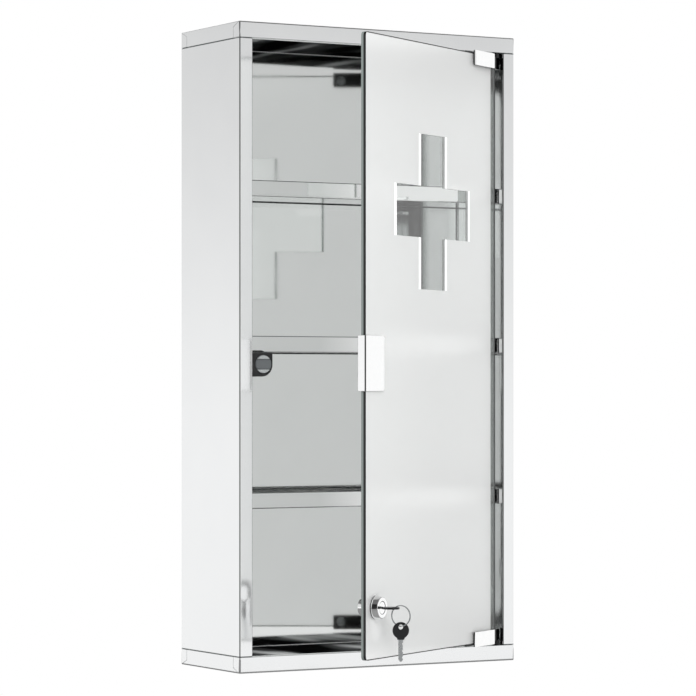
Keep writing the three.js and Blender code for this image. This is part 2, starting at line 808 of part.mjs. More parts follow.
// Keyway through the plug or a wafer's window.
function keyway(y0, y1) {
  const wide = BLADE_WIDTH / 2 + KEYWAY_GAP;
  const tall = BLADE_THICKNESS / 2 + KEYWAY_GAP;
  return box(-wide, wide, y0, y1, -tall, tall);
}

function lockPlug() {
  const slots = waferY.map((y) =>
    box(
      -PLUG,
      PLUG,
      y - WAFER / 2 - FIT_GAP / 2,
      y + WAFER / 2 + FIT_GAP / 2,
      -WAFER_WIDTH / 2 - FIT_GAP / 2,
      WAFER_WIDTH / 2 + FIT_GAP / 2,
    ),
  );
  return cut(
    rod(PLUG, 0, 0, plugFace, plugBack, ROUND),
    keyway(plugFace - PAST, keyTip + FIT_GAP),
    ...flats(PLUG_FLAT, nutBack, plugBack + PAST),
    ...slots,
  );
}

function lockWafer(y) {
  const plate = box(
    -WAFER_LENGTH / 2,
    WAFER_LENGTH / 2,
    y - WAFER / 2,
    y + WAFER / 2,
    -WAFER_WIDTH / 2,
    WAFER_WIDTH / 2,
  );
  return cut(plate, keyway(y - WAFER, y + WAFER));
}

// Cam: a round hub with a tongue hanging to one side of the axis.
function lockCam() {
  const [farAcross, farUp] = CAM_FAR_SHOULDER;
  const [nearAcross, nearUp] = CAM_NEAR_SHOULDER;
  const tongue = outline([
    [CAM_NEAR_SIDE, nearUp - CAM_LENGTH, CAM_CORNER],
    [CAM_NEAR_SIDE + nearAcross, -CAM_LENGTH, CAM_CORNER],
    [CAM_FAR_SIDE - farAcross, -CAM_LENGTH, CAM_CORNER],
    [CAM_FAR_SIDE, farUp - CAM_LENGTH, CAM_CORNER],
    [CAM_FAR_SIDE, -CAM_HUB / 2, 0],
    [CAM_NEAR_SIDE, 0, 0],
  ]);
  const hub = rod(CAM_HUB, 0, 0, camFront, camBack, ROUND);
  const bore = cut(
    rod(PLUG + 2 * FIT_GAP, 0, 0, camFront - PAST, camBack + PAST, ROUND),
    ...flats(PLUG_FLAT + 2 * FIT_GAP, camFront - 2 * PAST, camBack + 2 * PAST),
  );
  return cut(join(hub, deep(tongue, camFront, camBack)), bore);
}

function lockCap() {
  return turned([
    [0, capBack - LOCK_CAP_WALL],
    [plugBore, capBack - LOCK_CAP_WALL],
    [plugBore, capFront],
    [LOCK_CAP / 2, capFront],
    [LOCK_CAP / 2, capBack - LOCK_CAP_CHAMFER],
    [LOCK_CAP / 2 - LOCK_CAP_CHAMFER, capBack],
    [0, capBack],
  ]);
}

add(lock, "lock_plug", "chrome", lockPlug());
waferY.forEach((y, i) => add(lock, `lock_wafer_${i + 1}`, "brass", lockWafer(y)));
add(lock, "lock_cam", "zinc", lockCam());
add(lock, "lock_cap", "chrome", lockCap());

// Keys: drawn hanging down from the hole in the head, flat in the XZ plane.
const headRadius = KEY_HEAD / 2;
const headZ = KEY_HOLE_FROM_END - headRadius;
const headFoot = headZ - headRadius - KEY_NECK_LENGTH;

function keyHead() {
  const neckAngle = Math.asin((KEY_NECK / 2 + KEY_SHOULDER) / headRadius);
  const shape = new THREE.Shape();
  shape.absarc(0, headZ, headRadius, -Math.PI / 2 + neckAngle, (3 * Math.PI) / 2 - neckAngle, false);
  shape.lineTo(-KEY_NECK / 2, headFoot);
  shape.lineTo(KEY_NECK / 2, headFoot);
  shape.closePath();
  const half = KEY_HEAD_THICKNESS / 2;
  const pocket = box(
    -BLADE_WIDTH / 2 - RUNNING_GAP,
    BLADE_WIDTH / 2 + RUNNING_GAP,
    -BLADE_THICKNESS / 2 - RUNNING_GAP,
    BLADE_THICKNESS / 2 + RUNNING_GAP,
    headFoot - PAST,
    headFoot + BLADE_TANG + RUNNING_GAP,
  );
  return cut(deep(shape, -half, half, ROUND / 2), rod(KEY_HOLE, 0, 0, -2 * half, 2 * half), pocket);
}

// Blade: a flat strip with a row of bits cut along one edge and a pointed tip.
function keyBlade() {
  const tip = headFoot - BLADE_LENGTH;
  const half = BLADE_WIDTH / 2;
  const edge = [];
  for (let i = 0; i < BITS; i += 1) {
    const z = tip + half + (i + 0.5) * BIT_PITCH;
    const floor = half - BIT_DEPTHS[i % BIT_DEPTHS.length];
    edge.push([half, z - BIT_PITCH / 2, 0]);
    edge.push([floor, z - BIT_FLOOR / 2, 0], [floor, z + BIT_FLOOR / 2, 0]);
  }
  const lastBit = tip + half + BITS * BIT_PITCH;
  const blade = outline([
    [-half, headFoot + BLADE_TANG, 0],
    [-half, tip + half, 0],
    [-BLADE_POINT / 2, tip, 0],
    [BLADE_POINT / 2, tip, 0],
    ...edge,
    [half, lastBit, 0],
    [half, headFoot + BLADE_TANG, 0],
  ]);
  return deep(blade, -BLADE_THICKNESS / 2, BLADE_THICKNESS / 2);
}

// The key lies flat in the lock, its head just outside the face.
const key = new THREE.Group();
key.position.y = lockFace - KEY_STAND_OFF + headFoot;
key.rotation.x = Math.PI / 2;
lock.add(key);
add(key, "key_head", "blackPlastic", keyHead());
add(key, "key_blade", "zinc", keyBlade());

// The ring hangs in the upright plane through the lock's axis, leaning out of the hole.
const hang = THREE.MathUtils.degToRad(RING_HANG);
const ring = new THREE.Group();
ring.position.set(0, key.position.y - RING_RADIUS * Math.sin(hang), -RING_RADIUS * Math.cos(hang));
lock.add(ring);
const wire = new THREE.TorusGeometry(RING_RADIUS, RING_WIRE / 2, RING_FACETS, ROUND);
add(ring, "key_ring", "chrome", wire.rotateY(Math.PI / 2));

const spareKey = new THREE.Group();
spareKey.position.z = -RING_RADIUS - SPARE_KEY_DROP;
spareKey.rotation.z = THREE.MathUtils.degToRad(SPARE_KEY_TURN);
ring.add(spareKey);
add(spareKey, "spare_key_head", "blackPlastic", keyHead());
add(spareKey, "spare_key_blade", "zinc", keyBlade());

export default cabinet;
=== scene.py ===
import json
import math

import bmesh
import bpy
from mathutils import Matrix, Vector


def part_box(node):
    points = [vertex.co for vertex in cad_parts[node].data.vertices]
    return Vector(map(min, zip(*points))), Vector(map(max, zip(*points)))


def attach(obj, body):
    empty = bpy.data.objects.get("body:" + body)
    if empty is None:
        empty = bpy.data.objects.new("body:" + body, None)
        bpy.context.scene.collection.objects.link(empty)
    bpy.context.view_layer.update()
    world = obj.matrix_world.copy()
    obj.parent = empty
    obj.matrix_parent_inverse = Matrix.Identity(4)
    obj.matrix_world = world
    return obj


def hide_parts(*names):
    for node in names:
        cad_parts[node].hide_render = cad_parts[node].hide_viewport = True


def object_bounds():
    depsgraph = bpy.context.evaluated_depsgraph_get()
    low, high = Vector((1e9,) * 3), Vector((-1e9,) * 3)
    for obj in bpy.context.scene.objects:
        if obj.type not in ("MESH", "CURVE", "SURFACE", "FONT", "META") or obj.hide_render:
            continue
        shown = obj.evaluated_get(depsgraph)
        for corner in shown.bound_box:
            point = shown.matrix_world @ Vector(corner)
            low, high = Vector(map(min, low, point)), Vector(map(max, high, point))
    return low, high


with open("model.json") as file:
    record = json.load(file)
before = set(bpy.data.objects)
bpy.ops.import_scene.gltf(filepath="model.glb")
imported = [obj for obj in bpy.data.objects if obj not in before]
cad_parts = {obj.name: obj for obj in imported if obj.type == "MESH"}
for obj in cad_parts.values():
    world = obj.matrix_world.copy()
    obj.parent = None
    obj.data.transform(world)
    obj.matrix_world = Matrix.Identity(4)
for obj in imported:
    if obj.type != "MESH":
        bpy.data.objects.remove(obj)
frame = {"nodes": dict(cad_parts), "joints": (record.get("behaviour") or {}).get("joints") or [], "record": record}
cad_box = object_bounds()
nodes = frame["nodes"]

MM = 0.001

# The photograph's camera, in metres and degrees, with its lens and sensor in millimetres
CAMERA_PLACE = (-1.5285, -2.7122, 0.2554)
CAMERA_YAW = 29.93
CAMERA_LENS = 165.45
CAMERA_SENSOR = 36
CAMERA_SHIFT_UP = 0.0569
CAMERA_REACH = 50

# What bright metal mirrors: the light changes between two values of a direction, from the third number
# to the fourth. The dark side is behind the camera's left and the panel is on the right.
DARK_SIDE = (-0.669, -0.743, 0)
DARK_LIGHT = (0.743, 0.83, 1.0, 0.03)
PANEL_LIGHT = (0.88, 0.96, 0.0, 1.0)
HORIZON_LIGHT = (-0.03, 0.13, 1.0, 0.74)
SKY_LIGHT = (0.4, 0.65, 1.0, 0.2)
GROUND_LIGHT = (-0.45, -0.7, 1.0, 0.3)
GLASS_LIGHT = 0.9

# The lamp, and the floor far below a cabinet that hangs on a wall, in metres and watts
LAMP_PLACE = (-1.2, -2.0, 1.9)
LAMP_AIM = (0, 0, 0.3)
LAMP_SIZE = 1.6
LAMP_POWER = 60
FLOOR_BELOW = 1.2
FLOOR_SIZE = 14

# The door's clear cross, its white ground rim and the shaded side of its cut, and the clear strip by the
# hinges, in millimetres
CROSS = 143
CROSS_BAR = 47.5
CROSS_ABOVE_GLASS_FOOT = 405.3
CROSS_RIM = 4.4
CROSS_SHADE = 1.8
CLEAR_EDGE = 10

# The door's frost, on its front and on its back: the share of light it scatters, and its roughness
FROST_MILK = (0.5, 0.12)
FROST_ROUGH = (0.26, 0.3)
FROST_UNEVEN = (0.98, 1.02)

# The glass's cut edge: its roughness, the cosine past which a face is flat, and in millimetres the outline painted
# dark as shade at the top and foot and the middle of the edge where the painted shade turns from dark to grey
EDGE_ROUGH = 0.12
FLAT_FACE = 0.97
DARK_OUTLINE = 0.9
EDGE_MIDDLE = 0.3

# Painted lines on the steel sheet, in millimetres: painted shade and dark reflection at folds, painted shade
# along the shelves' joints with the back panel, and a painted highlight along the rear edge of the dark panels
PAINTED_FOLD_LINE = 1.3
SHELF_SHADE_LINE = 0.8
REAR_HIGHLIGHT_LINE = 4

# Shelves brighten between these places across the cabinet, in millimetres, as painted shade lifts toward the
# hinges, and are satin inside
SHADE_ACROSS_FROM = -50
SHADE_ACROSS_TO = 20
SATIN = 0.5

# Where the hinge's chrome gives way to black painted as shade and dark reflection: along the door, and on its
# rim in front of the gasket, in millimetres
KNUCKLE_START = -14
PAINTED_BLACK_RIM = 1.3

# Sizes of the surfaces' patterns, in millimetres
WIPED_PATCH = 60
POLISH_LINE = 0.6
POLISH_DEPTH = 0.02
PAINTED_REFLECTION_PATCH = 45
RUBBED_PATCH = 6
BLAST_PIT = 0.8

# A pattern is drawn out long up the polished sheet and into the dark painted one, where it changes this slowly
POLISH_PACE = 0.02
PAINTED_REFLECTION_PACE = 0.3

# How strongly the polish lines and the moulded grain show
POLISH_SHOWN = 0.02
GRAIN_SHOWN = 0.3

# Noise mostly stays between the first two values. Plate is at its smoothest below a value of its own.
NOISE_LOW = 0.3
NOISE_HIGH = 0.7
PLATE_LOW = 0.35

# Roughness of the dark panels, and the dark, grey and pale tones of their painted reflection with the noise
# value where each begins
DARK_PANEL_ROUGH = (0.5, 0.7)
PAINTED_REFLECTION_TONES = ((0.4, "#0a0a0a"), (0.55, "#4c4e4e"), (0.7, "#d0d2d2"))

# Cosine within which a face counts as upright, and past which it faces the back panel
LEANING = 0.5

# Screw heads: the rounding and recess depth in millimetres, and the recess's size as a share of the head
SCREW_ROUND = 0.6
RECESS_LENGTH = 0.55
RECESS_WIDTH = 0.13
RECESS_DEPTH = 1.0

# The split ring, in millimetres
RING_RADIUS = 9.2
RING_WIRE = 1.1
RING_WIRE_WIDTH = 0.8
RING_TURNS = 2
RING_GAP = 0.1
RING_STEPS = 96

# Shapes are merged within a micron and faces that lie within a degree are one face. Nodes are softened at
# angles past one limit, and other pieces are rounded past another, in a few steps.
MERGE = 0.001 * MM
FLAT = math.radians(1)
SOFT = math.radians(40)
SHARP = math.radians(50)
SOFT_STEPS = 2
ROUND_STEPS = 3

# The shelves and the hinges
LEVELS = ("lower", "middle", "upper")
ENDS = ("upper", "lower")

# Radius of the sharp edges in each slot, in millimetres
EDGE_ROUND = {
    "outer_steel": 0.3,
    "inner_steel": 0.3,
    "dark_steel": 0.3,
    "chrome": 0.4,
    "zinc_steel": 0.25,
    "brass": 0.15,
    "frosted_glass": 0.6,
    "black_plastic": 0.5,
    "magnet": 0.3,
    "rubber": 0.2,
}

# Pieces whose round forms need smooth shading, with the radius of their edges in millimetres
ROUND_PIECES = {
    "left_side_panel": 0.2,
    "right_side_panel": 0.2,
    "top_cap": 0.15,
    "bottom_cap": 0.15,
    "upper_hinge_plate": 0.3,
    "lower_hinge_plate": 0.3,
    "door_handle": 0.3,
    "lock_body": 0.5,
    "lock_plug": 0.1,
    "lock_cap": 0.5,
    "lock_cam": 0.25,
    "catch_housing": 0.6,
    "catch_magnet": 0.3,
    "upper_catch_pole": 0.3,
    "lower_catch_pole": 0.3,
    "key_head": 0.45,
    "spare_key_head": 0.45,
}

# The slot and the body of each node
slot_of = {part["node"]: part["material_slot"] for part in frame["record"]["subparts"]}
body_of = {node: body for body, held in frame["record"]["behaviour"]["bodies"].items() for node in held}

# Where the door hangs: its pivot and how far the rest pose has it open
swing = next(j for j in frame["joints"] if j["name"] == "door_swing")
door_turn = math.radians(-swing["range_deg"][0])
door_place = Matrix.Translation(Vector(swing["pos_m"])) @ Matrix.Rotation(door_turn, 4, "Z")


def linear(code):
    """Turns an sRGB hex colour into linear red, green, blue and alpha."""
    parts = [int(code[i:i + 2], 16) / 255 for i in (1, 3, 5)]
    return (*[c / 12.92 if c <= 0.04045 else ((c + 0.055) / 1.055) ** 2.4 for c in parts], 1)


def feed(tree, node, inputs):
    """Sets each named input of a node, or links it to a socket or to another node's first output."""
    for name, value in inputs.items():
        if isinstance(value, bpy.types.Node):
            value = next(output for output in value.outputs if output.enabled)
        if isinstance(value, bpy.types.NodeSocket):
            tree.links.new(value, node.inputs[name])
        else:
            node.inputs[name].default_value = value


def add_node(tree, kind, inputs=None, **settings):
    """Adds a node with its settings and feeds its inputs."""
    made = tree.nodes.new(kind)
    for name, value in settings.items():
        setattr(made, name, value)
    feed(tree, made, inputs or {})
    return made


def new_material(name, plain_values):
    """A material with one Principled shader, whose plain values are set on its own sockets."""
    material = bpy.data.materials.new(name)
    material.use_nodes = True
    tree = material.node_tree
    shader = tree.nodes["Principled BSDF"]
    feed(tree, shader, plain_values)
    return material, tree, shader


def per_mm(size):
    """Texture scale for a pattern whose features are this many millimetres wide."""
    return 1 / (size * MM)


def box_on_door(node):
    """Lowest and highest corner of a node in the door's own axes, x along the glass."""
    back = door_place.inverted()
    points = [back @ v.co for v in nodes[node].data.vertices]
    low = Vector([min(p[i] for p in points) for i in range(3)])
    high = Vector([max(p[i] for p in points) for i in range(3)])
    return low, high


def place_on_door(tree):
    """Place on a door piece in the door's own axes: along the glass, through it and up."""
    place = add_node(tree, "ShaderNodeTexCoord").outputs["Object"]
    back = {"Location": door_place.inverted().translation, "Rotation": (0, 0, -door_turn)}
    turned = add_node(tree, "ShaderNodeMapping", {"Vector": place, **back})
    return add_node(tree, "ShaderNodeSeparateXYZ", {"Vector": turned}).outputs


def mirror_steel(name, colours, shine, folds=(), painted_line_colour="#7b7f7f", painted_line_width=PAINTED_FOLD_LINE):
    """Stainless steel sheet, cold rolled and polished until it mirrors its surroundings.
    The eye sees soft reflections that blur a little in patches left by wiping, very faint polish lines, and
    a darker line of painted shade and dark reflection round the upright faces at each given height, in the sheet's
    folds and joints."""
    material, tree, shader = new_material(name, {"Metallic": 1.0})
    place = add_node(tree, "ShaderNodeTexCoord").outputs["Object"]
    wipes_and_painted_shade = add_node(
        tree, "ShaderNodeTexNoise", {"Vector": place, "Scale": per_mm(WIPED_PATCH), "Detail": 3.0}
    )
    rough = add_node(
        tree,
        "ShaderNodeMapRange",
        {
            "Value": wipes_and_painted_shade,
            "From Min": NOISE_LOW,
            "From Max": NOISE_HIGH,
            "To Min": shine[0],
            "To Max": shine[1],
        },
    )
    colour = add_node(
        tree,
        "ShaderNodeMix",
        {"Factor": wipes_and_painted_shade, "A": linear(colours[0]), "B": linear(colours[1])},
        data_type="RGBA",
    )
    height = add_node(tree, "ShaderNodeSeparateXYZ", {"Vector": place}).outputs["Z"]
    facing = add_node(tree, "ShaderNodeNewGeometry").outputs["Normal"]
    upward = add_node(tree, "ShaderNodeSeparateXYZ", {"Vector": facing}).outputs["Z"]
    upright = add_node(tree, "ShaderNodeMath", {0: upward, 1: 0.0, 2: LEANING}, operation="COMPARE")
    # Dark lines painted at the given heights stand for shade and dark reflection in folds and joints
    for fold in folds:
        near = add_node(
            tree, "ShaderNodeMath", {0: height, 1: fold, 2: painted_line_width * MM / 2}, operation="COMPARE"
        )
        shown = add_node(tree, "ShaderNodeMath", {0: near, 1: upright}, operation="MULTIPLY")
        colour = add_node(
            tree,
            "ShaderNodeMix",
            {"Factor": shown, "A": colour, "B": linear(painted_line_colour)},
            data_type="RGBA",
        )
    # Polish lines are about 0.05 mm apart. They are drawn wider so that they can show.
    along = add_node(tree, "ShaderNodeMapping", {"Vector": place, "Scale": (1, 1, POLISH_PACE)})
    lines = add_node(
        tree, "ShaderNodeTexNoise", {"Vector": along, "Scale": per_mm(POLISH_LINE), "Detail": 2.0}
    )
    bump = add_node(
        tree,
        "ShaderNodeBump",
        {"Height": lines, "Strength": POLISH_SHOWN, "Distance": POLISH_DEPTH * MM},
    )
    feed(tree, shader, {"Base Color": colour, "Roughness": rough, "Normal": bump})
    return material


def cap_folds():
    """Heights of the caps' outer folds and of the joints under them."""
    low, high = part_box("left_side_panel")
    return [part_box("bottom_cap")[0].z, low.z, high.z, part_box("top_cap")[1].z]


def shelf_folds():
    """Heights of the shelves' rims and lower folds."""
    return [corner.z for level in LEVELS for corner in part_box(f"{level}_shelf")]


def shelf_shade_lines():
    """Heights on the back panel just above and just below each shelf."""
    lines = []
    for level in LEVELS:
        low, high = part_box(f"{level}_shelf")
        lines += [low.z - SHELF_SHADE_LINE / 2 * MM, high.z + SHELF_SHADE_LINE / 2 * MM]
    return lines


def back_steel():
    """Stainless steel sheet behind the shelves. The eye sees a greyer mirror, with thin dark lines of painted
    shade along the shelves, where they meet the back panel."""
    return mirror_steel(
        "stainless_steel_mirror_back",
        ("#dadcdb", "#e0e2e1"),
        (0.03, 0.08),
        # Thin dark lines of painted shade just above and just below each shelf
        shelf_shade_lines(),
        painted_line_colour="#101111",
        painted_line_width=SHELF_SHADE_LINE,
    )


def shelf_steel():
    """Stainless steel shelves. The eye sees a mirror with painted shade that darkens it away from the hinges,
    grey lines of painted shade and dark reflection at the folds, and satin on the side that faces the back panel."""
    material = mirror_steel(
        "stainless_steel_mirror_shelf",
        ("#ffffff", "#ffffff"),
        (0.03, 0.08),
        shelf_folds(),
        # Grey lines of painted shade and dark reflection at the shelves' folds
        painted_line_colour="#5a5e5d",
    )
    tree = material.node_tree
    shader = tree.nodes["Principled BSDF"]
    bright = shader.inputs["Base Color"].links[0].from_socket
    polished = shader.inputs["Roughness"].links[0].from_socket
    coordinates = add_node(tree, "ShaderNodeTexCoord").outputs
    across = add_node(tree, "ShaderNodeSeparateXYZ", {"Vector": coordinates["Object"]}).outputs["X"]
    # Painted shade: the shelves are darker away from the hinges
    wipes_and_painted_shade = add_node(
        tree,
        "ShaderNodeMapRange",
        {"Value": across, "From Min": SHADE_ACROSS_TO * MM, "From Max": SHADE_ACROSS_FROM * MM},
    )
    painted_shade_across = add_node(
        tree,
        "ShaderNodeMix",
        {"Factor": wipes_and_painted_shade, "A": bright, "B": linear("#d6d8d7")},
        data_type="RGBA",
        blend_type="MULTIPLY",
    )
    backward = add_node(tree, "ShaderNodeSeparateXYZ", {"Vector": coordinates["Normal"]}).outputs["Y"]
    inside = add_node(tree, "ShaderNodeMath", {0: backward, 1: LEANING}, operation="GREATER_THAN")
    satin = add_node(tree, "ShaderNodeMix", {"Factor": inside, "A": polished, "B": SATIN})
    feed(tree, shader, {"Base Color": painted_shade_across, "Roughness": satin})
    return material


def painted_dark_steel():
    """Stainless steel sheet whose side that faces the shelves is painted dark, as a painted dark reflection with
    paler painted streaks. The eye sees a dark, matt sheet with soft black and paler patches and a painted
    highlight as a pale line along its rear edge."""
    material, tree, shader = new_material("stainless_steel_painted_dark_reflection", {"Specular IOR Level": 0.0})
    place = add_node(tree, "ShaderNodeTexCoord").outputs["Object"]
    deep = add_node(tree, "ShaderNodeMapping", {"Vector": place, "Scale": (1, PAINTED_REFLECTION_PACE, 1)})
    patches = add_node(
        tree, "ShaderNodeTexNoise", {"Vector": deep, "Scale": per_mm(PAINTED_REFLECTION_PATCH), "Detail": 1.0}
    )
    # Painted dark reflection, with paler patches as painted streaks of light
    tones = add_node(tree, "ShaderNodeValToRGB", {"Fac": patches})
    stops = tones.color_ramp.elements
    stops.new(0.5)
    for stop, (start, tone) in zip(stops, PAINTED_REFLECTION_TONES):
        stop.position = start
        stop.color = linear(tone)
    depth = add_node(tree, "ShaderNodeSeparateXYZ", {"Vector": place}).outputs["Y"]
    # Painted highlight: a pale line along the rear edge
    painted_rear_highlight = add_node(
        tree,
        "ShaderNodeMath",
        {0: depth, 1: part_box("ceiling_panel")[1].y, 2: REAR_HIGHLIGHT_LINE * MM},
        operation="COMPARE",
    )
    colour = add_node(
        tree,
        "ShaderNodeMix",
        {"Factor": painted_rear_highlight, "A": tones, "B": linear("#ffffff")},
        data_type="RGBA",
    )
    rough = add_node(
        tree,
        "ShaderNodeMapRange",
        {
            "Value": patches,
            "From Min": NOISE_LOW,
            "From Max": NOISE_HIGH,
            "To Min": DARK_PANEL_ROUGH[0],
            "To Max": DARK_PANEL_ROUGH[1],
        },
    )
    feed(tree, shader, {"Base Color": colour, "Roughness": rough})
    return material


def plated_metal(name, colours, shine, speck):
    """Chrome, nickel or zinc plate over pressed metal, or stamped brass left unplated. The eye sees hard bright
    reflections on chrome and a greyer, finely speckled shine on the others."""
    material, tree, shader = new_material(name, {"Metallic": 1.0})
    place = add_node(tree, "ShaderNodeTexCoord").outputs["Object"]
    specks = add_node(
        tree, "ShaderNodeTexNoise", {"Vector": place, "Scale": per_mm(speck), "Detail": 4.0}
    )
    rough = add_node(
        tree,
        "ShaderNodeMapRange",
        {
            "Value": specks,
            "From Min": PLATE_LOW,
            "From Max": NOISE_HIGH,
            "To Min": shine[0],
            "To Max": shine[1],
        },
    )
    colour = add_node(
        tree,
        "ShaderNodeMix",
        {"Factor": specks, "A": linear(colours[0]), "B": linear(colours[1])},
        data_type="RGBA",
    )
    feed(tree, shader, {"Base Color": colour, "Roughness": rough})
    return material


def hinge_chrome():
    """Chrome plate on the zinc die-cast hinge, with the neck, the knuckle and the rear of its rim painted black
    as shade and dark reflection. The eye sees white reflections on the plate, and black beside the glass."""
    material = plated_metal("chrome_plate_painted_black_knuckle", ("#f8f9f9", "#ffffff"), (0.03, 0.08), speck=4)
    tree = material.node_tree
    shader = tree.nodes["Principled BSDF"]
    plated = shader.inputs["Base Color"].links[0].from_socket
    along, depth, _ = place_on_door(tree)
    neck = add_node(tree, "ShaderNodeMath", {0: along, 1: KNUCKLE_START * MM}, operation="GREATER_THAN")
    rear = box_on_door("upper_hinge_front_gasket")[0].y - PAINTED_BLACK_RIM * MM
    rim = add_node(tree, "ShaderNodeMath", {0: depth, 1: rear}, operation="GREATER_THAN")
    # Painted shade on the neck and knuckle, and painted dark reflection on the rim
    painted_black = add_node(tree, "ShaderNodeMath", {0: neck, 1: rim}, operation="MAXIMUM")
    colour = add_node(
        tree,
        "ShaderNodeMix",
        {"Factor": painted_black, "A": plated, "B": linear("#141414")},
        data_type="RGBA",
    )
    feed(tree, shader, {"Base Color": colour})
    return material


def moulded(name, colours, shine, grain, depth):
    """Moulded plastic or rubber, or a pressed and sintered magnet. The eye sees a fine grain from the
    mould, dull in the hollows and a little shinier where hands rub it."""
    material, tree, shader = new_material(name, {"IOR": 1.5})
    place = add_node(tree, "ShaderNodeTexCoord").outputs["Object"]
    texture = add_node(
        tree, "ShaderNodeTexNoise", {"Vector": place, "Scale": per_mm(grain), "Detail": 2.0}
    )
    rubbed = add_node(
        tree, "ShaderNodeTexNoise", {"Vector": place, "Scale": per_mm(RUBBED_PATCH), "Detail": 2.0}
    )
    rough = add_node(
        tree,
        "ShaderNodeMapRange",
        {
            "Value": rubbed,
            "From Min": NOISE_LOW,
            "From Max": NOISE_HIGH,
            "To Min": shine[0],
            "To Max": shine[1],
        },
    )
    colour = add_node(
        tree,
        "ShaderNodeMix",
        {"Factor": texture, "A": linear(colours[0]), "B": linear(colours[1])},
        data_type="RGBA",
    )
    bump = add_node(
        tree, "ShaderNodeBump", {"Height": texture, "Strength": GRAIN_SHOWN, "Distance": depth * MM}
    )
    feed(tree, shader, {"Base Color": colour, "Roughness": rough, "Normal": bump})
    return material


def cross_window(tree, x, z, centre, grow=0.0):
    """Mask of the door's cross round a place on the door, wider on both sides by some millimetres."""
    bars = []
    for wide, tall in ((CROSS, CROSS_BAR), (CROSS_BAR, CROSS)):
        beside = add_node(
            tree, "ShaderNodeMath", {0: x, 1: centre.x, 2: (wide / 2 + grow) * MM}, operation="COMPARE"
        )
        above = add_node(
            tree, "ShaderNodeMath", {0: z, 1: centre.z, 2: tall / 2 * MM}, operation="COMPARE"
        )
        bars.append(add_node(tree, "ShaderNodeMath", {0: beside, 1: above}, operation="MULTIPLY"))
    lying, standing = bars
    return add_node(tree, "ShaderNodeMath", {0: lying, 1: standing}, operation="MAXIMUM")


def glass_edge(tree, z):
    """Mask of the glass's rounded edges and of a thin outline along its top and foot."""
    low, high = box_on_door("door_glass")
    facing = add_node(tree, "ShaderNodeTexCoord").outputs["Normal"]
    outward = door_place.to_3x3() @ Vector((0, -1, 0))
    front = add_node(tree, "ShaderNodeVectorMath", {0: facing, 1: outward}, operation="DOT_PRODUCT")
    rounded = add_node(tree, "ShaderNodeMath", {0: front, 1: 0.0, 2: FLAT_FACE}, operation="COMPARE")
    reach = (high.z - low.z) / 2 - DARK_OUTLINE * MM
    within = add_node(
        tree, "ShaderNodeMath", {0: z, 1: (low.z + high.z) / 2, 2: reach}, operation="COMPARE"
    )
    ends = add_node(tree, "ShaderNodeMath", {0: 1.0, 1: within}, operation="SUBTRACT")
    return add_node(tree, "ShaderNodeMath", {0: rounded, 1: ends}, operation="MAXIMUM")


